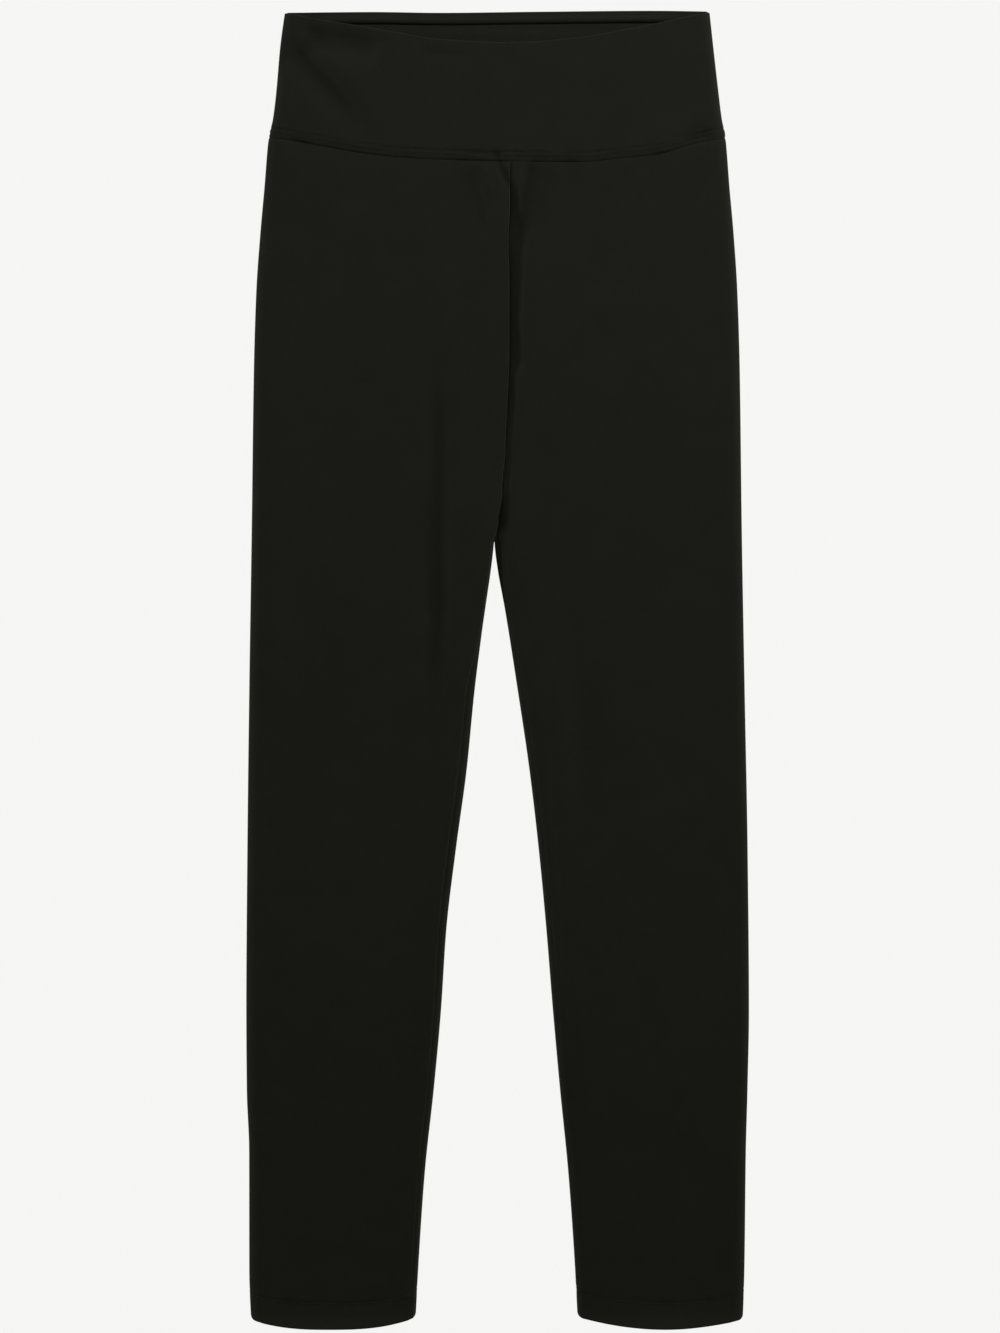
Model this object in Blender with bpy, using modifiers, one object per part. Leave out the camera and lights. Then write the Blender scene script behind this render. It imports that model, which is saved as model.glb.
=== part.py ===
"""Plain leggings laid flat on their back: two legs, a deep waistband and the facing inside its back.

The waist is at +Y and the hems at -Y. The wearer's right leg is at -X. The back lies on Z = 0 and
the front lies on the back. Each leg is one cut piece wrapped round its outer fold. It meets the
other leg at centre front and centre back, and below the crotch its own edges meet at the inseam,
which lies on the front, a little way in from the inner fold.

Tables and sizes are in millimetres. "drop" is measured down from the top of the back waistband,
and "out" is measured from the middle of the garment towards the side that the leg is on.
"""

import math

import bpy
import numpy as np

MM = 0.001

LENGTH = 972.0
WALL = 1.0
BAND_WALL = 1.2
SEAM_GAP = 0.3

# Half the height of the folded sides: the waistband holds more layers than a leg.
LEG_FOLD_RADIUS = 1.6
BAND_FOLD_RADIUS = 2.2
FOLD_EASES_FROM, FOLD_EASES_TO = 95.0, 145.0

# How far the middle of the front stands above its folded sides, and how far in it gets there.
LEG_CROWN = 1.6
BAND_CROWN = 1.0
CROWN_EASES_FROM, CROWN_EASES_TO = 80.0, 140.0
CROWN_REACH = 25.0

# The crotch. The front sinks towards it, and each leg's inner side curls from flat to closed there.
CROTCH_DROP = 390.5
CROTCH_X = -2.4
CROTCH_SINKS_FROM = 310.0
CURL_FROM, CURL_TO = 380.0, 394.0
EDGE_CLEARS_AT_CURL = 0.15
LEAST_CURL = 1e-4

HEM_BULGE = 12.1
HEM_ROUNDNESS = 3.0

# The least height of the front, where a trough all but presses it on the layers under it.
LEAST_LEG_HEIGHT = 2 * WALL + 0.5
LEAST_BAND_HEIGHT = 2 * BAND_WALL + WALL + 3 * SEAM_GAP
LEAST_EASES_FROM, LEAST_EASES_TO = 112.0, 132.0
FOLD_ENDS_FADE = 0.25
FOLDS_FADE_AT_SIDE = 6.0
FOLDS_FADE_AT_INNER = 3.0

CLOTH_COLOUR = (0.0120, 0.0126, 0.0094, 1.0)
INSIDE_COLOUR = (0.0137, 0.0142, 0.0110, 1.0)

SIGN = {"right": -1, "left": 1}


def table(names, rows):
    """The rows as one array for each named column."""
    return dict(zip(names.split(), np.array(rows, float).T))


# The side outline of the whole garment, and the inner edges of the legs below the crotch.
SIDES = table(
    "drop right_out left_out",
    [
        (0, 156.6, 156.2),
        (26, 160.1, 159.0),
        (61, 163.2, 163.0),
        (80, 165.6, 165.4),
        (92, 168.4, 167.8),
        (132, 172.0, 171.2),
        (162, 174.7, 173.9),
        (206, 177.8, 176.8),
        (264, 179.6, 178.6),
        (382, 181.2, 180.1),
        (500, 183.0, 182.2),
        (618, 184.4, 184.4),
        (736, 185.2, 185.4),
        (795, 184.8, 184.3),
        (840, 183.1, 183.1),
        (928, 183.0, 182.0),
        (972, 181.2, 180.4),
    ],
)
INNER_EDGES = table(
    "drop right_out left_out",
    [
        (390.5, 2.55, -2.25),
        (397, 3.1, -1.8),
        (412, 4.9, 0.2),
        (441, 9.1, 5.5),
        (500, 16.8, 14.8),
        (559, 22.7, 23.5),
        (618, 30.7, 30.4),
        (677, 37.7, 36.0),
        (736, 41.6, 40.8),
        (795, 47.0, 46.1),
        (854, 53.4, 52.0),
        (913, 57.6, 56.3),
        (972, 60.9, 59.6),
    ],
)

# Where the centre seams run. The garment lies turned a little, so the front one is right of the
# middle and the back one left of it, and they meet at the crotch.
CENTRE_SEAMS = table(
    "drop front_x back_x",
    [
        (90, 9.2, -9.0),
        (220, 9.2, -8.4),
        (305, 9.2, -5.0),
        (340, 6.6, -0.5),
        (376, 1.4, 1.4),
        (390.5, CROTCH_X, CROTCH_X),
    ],
)

# How far the inseam lies in from the inner fold.
INSEAM = table(
    "drop right_in left_in",
    [
        (390, 2.4, 2.4),
        (470, 2.4, 2.4),
        (500, 5.2, 2.4),
        (600, 5.4, 2.8),
        (700, 4.0, 3.0),
        (790, 2.6, 2.4),
        (972, 2.4, 2.4),
    ],
)

# The edges that run across: tops of the waistband, and the seam between waistband and legs.
FRONT_EDGES = table(
    "x top_drop seam_drop",
    [
        (-170, 1.6, 93.0),
        (-156, 2.1, 93.8),
        (-130, 6.6, 98.3),
        (-101, 11.3, 103.6),
        (-72, 16.4, 106.9),
        (-42, 21.0, 108.6),
        (9, 23.4, 109.9),
        (61, 19.4, 110.0),
        (90, 14.6, 107.6),
        (120, 8.7, 104.0),
        (149, 2.6, 95.4),
        (170, 1.2, 93.0),
    ],
)
BACK_EDGES = table(
    "x top_drop seam_drop",
    [
        (-170, 1.4, 93.0),
        (-90, 1.0, 94.4),
        (-42, 1.6, 95.0),
        (30, 0.8, 95.0),
        (115, 0.0, 94.2),
        (170, 0.6, 93.0),
    ],
)
FACING_BELOW_TOP = 1.0
FACING_ABOVE_SEAM = 1.0

# Where the columns of each leg's front crowd together, to follow its long soft trough.
CREASE_LINE = table(
    "drop out",
    [
        (90, 44),
        (510, 45),
        (560, 51),
        (620, 58),
        (700, 73),
        (800, 92),
        (972, 112),
    ],
)

# The main folds of the front, each along a straight line that fades at both ends.
FOLDS = (
    # name, start (x, drop), end (x, drop), half width, height
    ("roll beside the front seam", (4.5, 112), (5.5, 222), 4.0, 2.6),
    ("valley along the front seam", (11.0, 122), (11.5, 318), 3.6, -1.7),
    ("second valley", (20.0, 118), (15.5, 186), 4.0, -1.0),
    ("wrinkle from the seam", (-20.0, 116), (-5.0, 162), 4.0, -0.8),
    ("trough down the right thigh", (-44.0, 225), (-45.5, 515), 8.0, -1.0),
    ("end of that trough", (-46.0, 500), (-58.0, 600), 8.0, -0.7),
    ("soft fall of the left thigh", (60.0, 250), (52.0, 520), 12.0, -0.5),
    ("sunk strip at the crotch", (2.0, 362), (5.0, 432), 3.4, -0.5),
    ("wrinkle across the band", (-153.0, 18), (-106.0, 80), 5.0, -1.1),
    ("dent under the band's edge", (-140.0, 14), (-88.0, 24), 5.0, -0.6),
)

# Rows of a leg between waist seam and hem, crowded where the form turns fast. The bend of the
# waist seam fades out of the rows on the way down.
ROW_SPANS = (
    # from drop, to drop, rows
    (110, 230, 10),
    (230, 370, 7),
    (370, 382, 2),
    (382, 402, 5),
    (402, 560, 6),
    (560, 930, 9),
    (930, 964, 3),
    (964, 972, 2),
)
SEAM_BEND_FADES = 0.3
BAND_ROWS = 6

# Rough levels of the waist seam and of the waistband's top, where the side outline is first read.
SEAM_LEVEL = 100.0
TOP_LEVEL = 5.0
SETTLING_TURNS = 6
TOUCH = 0.01

# Columns of a leg: over the front between the stops that front_out names, round the outer fold, over
# the flat back, and along the strip that closes the inner side.
FRONT_STEPS = (3, 2, 4, 2, 3)
ARC_STEPS = 5
BACK_STEPS = 3
EDGE_BAND = 9.0
CREASE_BAND = 20.0
FACING_STEPS = 10
FACING_ROWS = 3

FRONTS = slice(0, 1 + sum(FRONT_STEPS))
OUTERS = slice(FRONTS.stop, FRONTS.stop + ARC_STEPS)
BACKS = slice(OUTERS.stop, OUTERS.stop + BACK_STEPS)
STRIP = slice(BACKS.stop, BACKS.stop + ARC_STEPS + 1)

TURN = np.arange(1, ARC_STEPS + 1) / ARC_STEPS


def along(columns, key, name, at):
    """The named column read at any place: a cubic through its rows that never overshoots them."""
    stations, values = columns[key], columns[name]
    secants = np.diff(values) / np.diff(stations)
    before, after = secants[:-1], secants[1:]
    same_way = before * after > 0
    inner = np.where(same_way, 2 * before * after / np.where(same_way, before + after, 1.0), 0.0)
    slopes = np.concatenate([secants[:1], inner, secants[-1:]])
    at = np.clip(at, stations[0], stations[-1])
    i = np.clip(np.searchsorted(stations, at, side="right") - 1, 0, len(stations) - 2)
    span = stations[i + 1] - stations[i]
    f = (at - stations[i]) / span
    start = values[i] * (1 + 2 * f) * (1 - f) ** 2 + slopes[i] * span * f * (1 - f) ** 2
    end = values[i + 1] * (3 - 2 * f) * f**2 - slopes[i + 1] * span * f**2 * (1 - f)
    return start + end


def ease(f):
    """0 below 0, 1 above 1 and a smooth rise between."""
    f = np.clip(f, 0.0, 1.0)
    return f * f * (3 - 2 * f)


def mix(a, b, f):
    return a * (1 - f) + b * f


def ramp(drop, first, last):
    return ease((drop - first) / (last - first))


def fold_radius(drop):
    return mix(BAND_FOLD_RADIUS, LEG_FOLD_RADIUS, ramp(drop, FOLD_EASES_FROM, FOLD_EASES_TO))


def outer_edge(side, drop):
    return along(SIDES, "drop", side + "_out", drop)


def inner_edge(side, layer, drop):
    """How far out a leg's inner edge is: at a centre seam above the crotch, at its fold below."""
    seam = SIGN[side] * along(CENTRE_SEAMS, "drop", layer + "_x", drop) + SEAM_GAP / 2
    return np.where(drop < CROTCH_DROP, seam, along(INNER_EDGES, "drop", side + "_out", drop))


def fold_heights(x, drop):
    """The sum of the folds: across each its height falls off as a bell, along it the ends fade."""
    total = np.zeros(np.broadcast(x, drop).shape)
    for _, start, end, half_width, height in FOLDS:
        run = np.subtract(end, start)
        length = math.hypot(*run)
        ahead = ((x - start[0]) * run[0] + (drop - start[1]) * run[1]) / length**2
        aside = ((x - start[0]) * run[1] - (drop - start[1]) * run[0]) / length
        fade = ease(ahead / FOLD_ENDS_FADE) * ease((1 - ahead) / FOLD_ENDS_FADE)
        total += height * fade * np.exp(-((aside / half_width) ** 2))
    return total


def front_height(x, drop):
    """Z of the front's outer face: its folded sides, plus a crown that eases in, plus the folds."""
    side = np.where(x < 0, outer_edge("right", drop), outer_edge("left", drop))
    from_side = side - np.abs(x) - fold_radius(drop)
    right = -inner_edge("right", "front", drop)
    left = inner_edge("left", "front", drop)
    from_inner = np.where(x < (right + left) / 2, right - x, x - left)
    parted = ramp(drop, CROTCH_SINKS_FROM, CROTCH_DROP)

    crown = mix(BAND_CROWN, LEG_CROWN, ramp(drop, CROWN_EASES_FROM, CROWN_EASES_TO))
    crown *= ease(from_side / CROWN_REACH)
    crown *= mix(1.0, ease((from_inner - LEG_FOLD_RADIUS) / CROWN_REACH), parted)

    folds = fold_heights(x, drop) * ease(from_side / FOLDS_FADE_AT_SIDE)
    folds *= mix(1.0, ease(from_inner / FOLDS_FADE_AT_INNER), parted)

    least = mix(LEAST_BAND_HEIGHT, LEAST_LEG_HEIGHT, ramp(drop, LEAST_EASES_FROM, LEAST_EASES_TO))
    return np.maximum(2 * fold_radius(drop) + crown + folds, least)


def hem_drop(across):
    """Drop of the hem: a wide shallow bulge whose corners round into the sides. across is 0 to 1."""
    bow = np.sqrt(np.clip(1 - np.abs(2 * across - 1) ** HEM_ROUNDNESS, 0, 1))
    return LENGTH - HEM_BULGE * (1 - bow)


def leg_rows():
    """How far down the leg each row is, from 0 at the waist seam to 1 at the hem."""
    drops = [ROW_SPANS[0][0]]
    for first, last, count in ROW_SPANS:
        drops.extend(np.linspace(first, last, count + 1)[1:])
    drops = np.array(drops)
    return (drops - drops[0]) / (drops[-1] - drops[0])


def closing_strip(side, drop):
    """The columns that close a leg's inner side: how far inward of their start each is, and how high.

    They lie flat above the crotch and curl up into half a circle below it, and the last of them
    goes on straight to the inseam.
    """
    curl = math.pi * np.maximum(ramp(drop, CURL_FROM, CURL_TO), LEAST_CURL)[..., None]
    radius = math.pi * LEG_FOLD_RADIUS / curl
    inward = radius * np.sin(curl * TURN)
    height = radius * (1 - np.cos(curl * TURN))
    tail = (along(INSEAM, "drop", side + "_in", drop) - LEG_FOLD_RADIUS - SEAM_GAP / 2)[..., None]
    inward = np.concatenate([inward, inward[..., -1:] + tail * np.cos(curl)], axis=-1)
    height = np.concatenate([height, height[..., -1:] + tail * np.sin(curl)], axis=-1)
    return inward, height


def front_out(side, drop):
    """How far out each front column is, from the front edge to the start of the outer fold."""
    curl = ramp(drop, CURL_FROM, CURL_TO)
    inseam = along(INSEAM, "drop", side + "_in", drop) + SEAM_GAP / 2
    edge = inner_edge(side, "front", drop) + inseam * ease(curl / EDGE_CLEARS_AT_CURL)
    crease = along(CREASE_LINE, "drop", "out", drop)
    outer = outer_edge(side, drop) - fold_radius(drop)
    stops = (
        edge,
        edge + EDGE_BAND,
        crease - CREASE_BAND / 2,
        crease + CREASE_BAND / 2,
        outer - CROWN_REACH,
        outer,
    )
    out = np.array(edge)
    for i, steps in enumerate(FRONT_STEPS):
        columns = slice(1 + sum(FRONT_STEPS[:i]), 1 + sum(FRONT_STEPS[: i + 1]))
        parts = np.arange(1, steps + 1) / steps
        out[..., columns] = mix(stops[i][..., columns], stops[i + 1][..., columns], parts)
    return out


def back_out(side, drop):
    """How far out each flat back column is, from the outer fold in to the closing strip."""
    inward, _ = closing_strip(side, drop)
    end = inner_edge(side, "back", drop) + inward.max(axis=-1)
    outer = outer_edge(side, drop) - fold_radius(drop)
    return mix(outer, end, np.arange(1, BACK_STEPS + 1) / BACK_STEPS)


def leg_top(side):
    """Drop of each column's top end. A column's place depends on it a little, so it is worked out
    a few times over."""
    fronts = np.full(FRONTS.stop, SEAM_LEVEL)
    backs = np.full(BACK_STEPS, SEAM_LEVEL)
    for _ in range(SETTLING_TURNS):
        fronts = along(FRONT_EDGES, "x", "seam_drop", SIGN[side] * front_out(side, fronts))
        backs = along(BACK_EDGES, "x", "seam_drop", SIGN[side] * back_out(side, backs))
    outer = outer_edge(side, fronts[-1]) - fold_radius(fronts[-1])
    back_start = along(BACK_EDGES, "x", "seam_drop", SIGN[side] * outer)
    round_fold = mix(fronts[-1], back_start, TURN)
    strip = np.full(ARC_STEPS + 1, backs[-1])
    return np.concatenate([fronts, round_fold, backs, strip]) + SEAM_GAP / 2


def leg_drops(side):
    """Drop of every point of a leg, one row for each ring of it."""
    inner = along(INNER_EDGES, "drop", side + "_out", LENGTH)
    outer = outer_edge(side, LENGTH)
    at_hem = np.concatenate([
        front_out(side, np.full(FRONTS.stop, LENGTH)),
        outer - LEG_FOLD_RADIUS * (1 - np.sin(TURN * math.pi)),
        back_out(side, np.full(BACK_STEPS, LENGTH)),
        inner + LEG_FOLD_RADIUS * (1 - np.sin(np.append(TURN, 1.0) * math.pi)),
    ])
    hem = hem_drop((at_hem - inner) / (outer - inner))
    seam_level = ROW_SPANS[0][0]
    down = leg_rows()[:, None]
    bend = (leg_top(side) - seam_level) * (1 - ease(down / SEAM_BEND_FADES))
    return mix(seam_level, hem, down) + bend


def leg_grid(side):
    """Outer face of a leg. Columns run from its front edge out over the front, round the outer fold
    and in over the floor. Below the crotch they go on up round the inner fold to the inseam."""
    drop = leg_drops(side)
    out = np.zeros_like(drop)
    z = np.zeros_like(drop)

    out[:, FRONTS] = front_out(side, drop[:, FRONTS])
    z[:, FRONTS] = front_height(SIGN[side] * out[:, FRONTS], drop[:, FRONTS])

    radius = fold_radius(drop[:, OUTERS])
    out[:, OUTERS] = outer_edge(side, drop[:, OUTERS]) - radius * (1 - np.sin(math.pi * TURN))
    z[:, OUTERS] = radius * (1 + np.cos(math.pi * TURN))

    out[:, BACKS] = back_out(side, drop[:, BACKS])

    strip_drop = drop[:, STRIP.start]
    inward, height = closing_strip(side, strip_drop)
    start = inner_edge(side, "back", strip_drop) + inward.max(axis=-1)
    out[:, STRIP] = start[:, None] - inward
    z[:, STRIP] = height

    return np.stack([SIGN[side] * out, LENGTH / 2 - drop, z], axis=-1)


def band_grid():
    """Outer face of the waistband: columns run once round it, rows from its seam to its top. Its
    lower edge is the legs' upper edge, moved up by the gap of the seam."""
    right, left = leg_grid("right")[0], leg_grid("left")[0]
    around = slice(OUTERS.start, BACKS.stop)
    lower = np.concatenate([
        right[1 : FRONTS.stop][::-1],
        [(right[0] + left[0]) / 2],
        left[1 : BACKS.stop],
        [(right[-1] + left[-1]) / 2],
        right[around][::-1],
    ])
    side = np.sign(lower[:, 0])
    seam = LENGTH / 2 - lower[:, 1] - SEAM_GAP
    radius = fold_radius(seam)

    def reach(drop):
        return np.where(side < 0, outer_edge("right", drop), outer_edge("left", drop))

    # A column in a side fold keeps its distance from the side. One on the flat keeps its share of
    # the width.
    inset = reach(seam) - np.abs(lower[:, 0])
    in_fold = inset < radius - TOUCH
    share = lower[:, 0] / (reach(seam) - radius)

    def x_at(drop):
        return np.where(in_fold, side * (reach(drop) - inset), share * (reach(drop) - radius))

    backness = np.where(in_fold, 1 - lower[:, 2] / (2 * radius), lower[:, 2] < radius)
    top_x = x_at(np.full(len(lower), TOP_LEVEL))
    front_top = along(FRONT_EDGES, "x", "top_drop", top_x)
    back_top = along(BACK_EDGES, "x", "top_drop", top_x)
    up = (np.arange(BAND_ROWS + 1) / BAND_ROWS)[:, None]
    drop = mix(seam, mix(front_top, back_top, backness), up)
    x = x_at(drop)
    z = np.where(in_fold | (backness == 1), lower[:, 2], front_height(x, drop))
    return np.stack([x, LENGTH / 2 - drop, z], axis=-1)


def facing_grid():
    """Underside of the facing: the inner face of the back waistband, moved in by the seam gap."""
    share = np.linspace(-1, 1, FACING_STEPS + 1)
    up = (np.arange(FACING_ROWS + 1) / FACING_ROWS)[:, None]
    half_width = np.where(share < 0, outer_edge("right", TOP_LEVEL), outer_edge("left", TOP_LEVEL))
    x = share * (half_width - 2 * BAND_FOLD_RADIUS)
    seam = along(BACK_EDGES, "x", "seam_drop", x) - FACING_ABOVE_SEAM
    top = along(BACK_EDGES, "x", "top_drop", x) + FACING_BELOW_TOP
    drop = mix(seam, top, up)
    z = np.full_like(drop, BAND_WALL + SEAM_GAP)
    return np.stack([x + 0 * drop, LENGTH / 2 - drop, z], axis=-1)


def jersey(name, colour, roughness):
    material = bpy.data.materials.new(name)
    material.use_nodes = True
    shader = material.node_tree.nodes["Principled BSDF"]
    shader.inputs["Base Color"].default_value = colour
    shader.inputs["Roughness"].default_value = roughness
    shader.inputs["Metallic"].default_value = 0.0
    return material


def cloth(name, grid, wall, material, collection, looped=False, mirrored=False, outward=False):
    """The grid as an open surface that Solidify gives its wall, inward unless outward is asked for."""
    rows, columns = grid.shape[:2]
    index = np.arange(rows * columns).reshape(rows, columns)
    if looped:
        index = np.hstack([index, index[:, :1]])
    faces = np.stack([index[:-1, :-1], index[:-1, 1:], index[1:, 1:], index[1:, :-1]], axis=-1)
    faces = faces.reshape(-1, 4)
    if mirrored:
        faces = faces[:, ::-1]
    mesh = bpy.data.meshes.new(name)
    mesh.from_pydata((grid.reshape(-1, 3) * MM).tolist(), [], faces.tolist())
    mesh.materials.append(material)
    mesh.shade_smooth()
    piece = bpy.data.objects.new(name, mesh)
    collection.objects.link(piece)
    solidify = piece.modifiers.new("wall", "SOLIDIFY")
    solidify.thickness = wall * MM
    solidify.offset = 1 if outward else -1
    solidify.use_even_offset = True
    return piece


def clear_scene():
    for thing in list(bpy.data.objects):
        bpy.data.objects.remove(thing, do_unlink=True)


def build():
    clear_scene()
    leggings = bpy.data.collections.new("leggings")
    bpy.context.scene.collection.children.link(leggings)
    leg_cloth = jersey("black jersey", CLOTH_COLOUR, 0.9)
    band_cloth = jersey("waistband jersey", CLOTH_COLOUR, 0.88)
    facing_cloth = jersey("facing jersey", INSIDE_COLOUR, 0.92)
    cloth("leg_right", leg_grid("right"), WALL, leg_cloth, leggings)
    cloth("leg_left", leg_grid("left"), WALL, leg_cloth, leggings, mirrored=True)
    cloth("waistband", band_grid(), BAND_WALL, band_cloth, leggings, looped=True)
    cloth("waistband_facing", facing_grid(), WALL, facing_cloth, leggings, outward=True)


build()
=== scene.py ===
"""Plain black leggings laid flat on their back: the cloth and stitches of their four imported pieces.

Tables and sizes are in millimetres. "drop" is measured down from the top of the back waistband,
"out" from the middle towards the side that a leg is on, and the waist is at +Y. Each piece of cloth
is a grid of points on its outer face. The relief of seams and puckers moves them out, and an inner
grid and a round rim close the wall.
"""

import math

import bpy
import numpy as np
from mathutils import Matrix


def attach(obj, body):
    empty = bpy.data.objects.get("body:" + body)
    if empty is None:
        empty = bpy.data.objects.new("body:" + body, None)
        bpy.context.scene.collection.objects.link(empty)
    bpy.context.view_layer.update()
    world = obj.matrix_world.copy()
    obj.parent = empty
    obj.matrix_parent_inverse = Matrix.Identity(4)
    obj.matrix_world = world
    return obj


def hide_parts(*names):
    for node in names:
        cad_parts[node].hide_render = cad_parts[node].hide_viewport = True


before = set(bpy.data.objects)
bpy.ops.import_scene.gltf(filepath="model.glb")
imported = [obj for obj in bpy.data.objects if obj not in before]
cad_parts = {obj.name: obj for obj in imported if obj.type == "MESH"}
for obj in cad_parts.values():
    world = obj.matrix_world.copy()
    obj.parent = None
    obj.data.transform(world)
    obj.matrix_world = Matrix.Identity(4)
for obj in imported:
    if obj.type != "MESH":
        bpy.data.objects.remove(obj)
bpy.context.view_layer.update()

MM = 0.001

# ---------------------------------------------------------------- sizes of the cut and of the cloth

LENGTH = 972.0
JERSEY = 0.85
# Two pieces press into each other a little where a seam joins them.
SEAM_GAP = -0.04

# Half the height of the folded sides, and how far in the upper half of each fold reaches.
LEG_FOLD_RADIUS = 1.6
BAND_FOLD_RADIUS = 2.2
FOLD_EASES_FROM, FOLD_EASES_TO = 95.0, 145.0
FOLD_REACH = 9.0

# How far the front stands above its folded sides, the share of it that is left at a side and at an
# inner fold, and how far in it is whole.
LEG_CROWN = 1.9
BAND_CROWN = 1.0
CROWN_EASES_FROM, CROWN_EASES_TO = 80.0, 140.0
CROWN_AT_FOLD = 0.45
CROWN_AT_INNER = 0.55
CROWN_REACH = 42.0
INNER_CROWN_REACH = 30.0

# The legs are joined above the crotch and part between the last two drops.
CROTCH_DROP = 390.5
CROTCH_X = -2.4
CROTCH_SINKS_FROM = 310.0
PARTS_FROM, PARTS_TO = 380.0, 394.0

HEM_RISES = {
    # rise at the inner and at the outer side, and the power of the bow between them
    "right": (8.3, 6.8, 2.7),
    "left": (8.8, 6.9, 1.9),
}
# Where the bow's middle is as a share of the leg's width, the radius of the corners, how deep the
# hem is turned in, its double wall, flat and at the folds, and how far it rolls past the grid.
HEM_MIDDLE = 0.53
HEM_CORNER = 3.0
HEM_DEPTH = 18.0
HEM_WALL = 1.5
HEM_FOLD_WALL = 1.2
HEM_RIM = 1.85
HEM_WALL_STEP = (0.5, 0.5)
HEM_LIFT, HEM_LIFT_STEP = 0.08, (1.5, 0.5)
HEM_GROOVE, HEM_GROOVE_HALVES = 0.17, (1.3, 5.0)
HEM_PUCKER_HALF = 5.0

LEAST_AIR = 0.25
LEAST_HEIGHT = 2 * JERSEY + LEAST_AIR
FLOOR_CLEARANCE = 0.05
FOLDS_FADE_AT_SIDE = 8.0
BACK_LIFT, MOST_BACK_LIFT = 0.12, 0.6

SIGN = {"right": -1, "left": 1}


def table(names, rows):
    """The rows as one array for each named column."""
    return dict(zip(names.split(), np.array(rows, float).T))


SIDES = table(
    "drop right_out left_out",
    [
        (0, 156.6, 156.2),
        (26, 160.1, 159.0),
        (61, 163.2, 163.0),
        (80, 165.6, 165.4),
        (92, 168.4, 167.8),
        (132, 172.0, 171.2),
        (162, 174.7, 173.9),
        (206, 177.8, 176.8),
        (264, 179.6, 178.6),
        (382, 181.2, 180.1),
        (500, 183.0, 182.2),
        (618, 184.4, 184.4),
        (736, 185.2, 185.4),
        (795, 184.8, 184.3),
        (840, 183.1, 183.1),
        (928, 183.0, 182.0),
        (972, 181.2, 180.4),
    ],
)
INNER_EDGES = table(
    "drop right_out left_out",
    [
        (390.5, 2.55, -2.25),
        (397, 3.1, -1.8),
        (412, 4.9, 0.2),
        (441, 9.1, 5.5),
        (500, 16.8, 14.8),
        (559, 22.7, 23.5),
        (618, 30.7, 30.4),
        (677, 37.7, 36.0),
        (736, 41.6, 40.8),
        (795, 47.0, 46.1),
        (854, 53.4, 52.0),
        (913, 57.6, 56.3),
        (972, 60.9, 59.6),
    ],
)
CENTRE_SEAMS = {
    "front": table(
        "drop x",
        [
            (90, 8.8),
            (139, 9.4),
            (172, 8.4),
            (200, 9.0),
            (257, 8.8),
            (286, 7.6),
            (301, 6.8),
            (331, 5.5),
            (345, 4.0),
            (360, 3.3),
            (371, 1.5),
            (381, 0.4),
            (390.5, CROTCH_X),
        ],
    ),
    "back": table(
        "drop x",
        [(90, -9.0), (220, -8.4), (305, -5.0), (340, -0.5), (376, 1.4), (390.5, CROTCH_X)],
    ),
}
# The inner folds: how far in the upper half of each reaches, where the inseam lies on it as a share
# of the turn from the floor to the top, and how deep its groove is.
INSEAM = table(
    "drop right_reach left_reach right_turn left_turn right_groove left_groove",
    [
        (380, 2.4, 7.0, 0.40, 0.79, 0.10, 0.50),
        (404, 2.5, 6.6, 0.41, 0.80, 0.10, 0.40),
        (416, 2.6, 4.6, 0.41, 0.88, 0.10, 0.10),
        (445, 2.8, 4.0, 0.42, 0.92, 0.10, 0.25),
        (476, 5.4, 4.6, 0.84, 0.92, 0.25, 0.32),
        (500, 7.2, 5.2, 0.92, 0.92, 0.40, 0.36),
        (600, 7.4, 5.4, 0.92, 0.92, 0.42, 0.36),
        (690, 6.8, 5.4, 0.92, 0.92, 0.40, 0.36),
        (790, 5.6, 3.6, 0.92, 0.91, 0.34, 0.32),
        (972, 5.0, 3.2, 0.92, 0.90, 0.28, 0.30),
    ],
)
FRONT_EDGES = table(
    "x top_drop seam_drop",
    [
        (-170, 1.6, 93.6),
        (-156, 2.1, 95.0),
        (-130, 6.6, 99.6),
        (-101, 11.3, 104.8),
        (-72, 16.4, 108.1),
        (-42, 21.0, 109.8),
        (9, 23.4, 111.2),
        (61, 19.4, 111.6),
        (90, 14.6, 109.0),
        (120, 8.7, 105.4),
        (149, 2.6, 97.0),
        (170, 1.2, 93.6),
    ],
)
BACK_EDGES = table(
    "x top_drop seam_drop",
    [
        (-170, 1.2, 93.0),
        (-90, 0.5, 94.4),
        (-42, 1.1, 95.0),
        (30, 0.3, 95.0),
        (115, -0.4, 94.2),
        (170, 0.4, 93.0),
    ],
)
CREASE_LINE = table(
    "drop out",
    [(90, 43), (480, 43), (530, 48), (560, 54), (620, 65), (700, 80), (800, 96), (972, 114)],
)
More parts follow.
